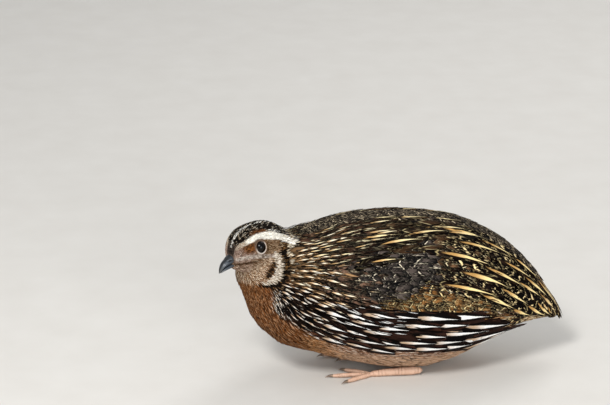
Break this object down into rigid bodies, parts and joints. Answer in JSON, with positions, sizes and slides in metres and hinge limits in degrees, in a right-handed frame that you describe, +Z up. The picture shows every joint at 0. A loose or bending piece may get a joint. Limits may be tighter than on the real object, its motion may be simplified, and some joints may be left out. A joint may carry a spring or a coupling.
{
  "type": "coturnix quail model",
  "caption": "Life-size still model of a crouched coturnix quail, head turned to its left, resting on its belly and toes.",
  "frame": {"origin": "on the floor, under the middle of the bird's bounding box", "axes": "+Z up, the bird faces -Y with its tail towards +Y, and its left side is +X"},
  "size_m": [0.0776, 0.1792, 0.0823],
  "materials": {
    "plumage_back": "dark brown feathers with buff shaft streaks",
    "plumage_head": "brown feathers with a cream brow and a blackish crown",
    "plumage_breast": "rufous brown feathers",
    "plumage_wing": "grey-brown feathers with thin buff bars",
    "plumage_tail": "dark brown feathers with golden buff streaks",
    "bill_horn": "satin grey-black horn",
    "eye": "glossy dark eye",
    "leg_skin": "satin pinkish scaled skin",
    "claw_horn": "satin horn"
  },
  "bodies": {
    "root": {"head": "plumage_head", "neck": "plumage_breast", "trunk": "plumage_back", "tail": "plumage_tail", "bill_upper": "bill_horn", "bill_lower": "bill_horn", "eye_left": "eye", "eye_right": "eye", "wing_left": "plumage_wing", "wing_right": "plumage_wing", "shank_left": "leg_skin", "shank_right": "leg_skin", "foot_left": "leg_skin", "foot_right": "leg_skin", "claw_left_inner": "claw_horn", "claw_left_middle": "claw_horn", "claw_left_outer": "claw_horn", "claw_left_hind": "claw_horn", "claw_right_inner": "claw_horn", "claw_right_middle": "claw_horn", "claw_right_outer": "claw_horn", "claw_right_hind": "claw_horn"}
  },
  "joints": []
}
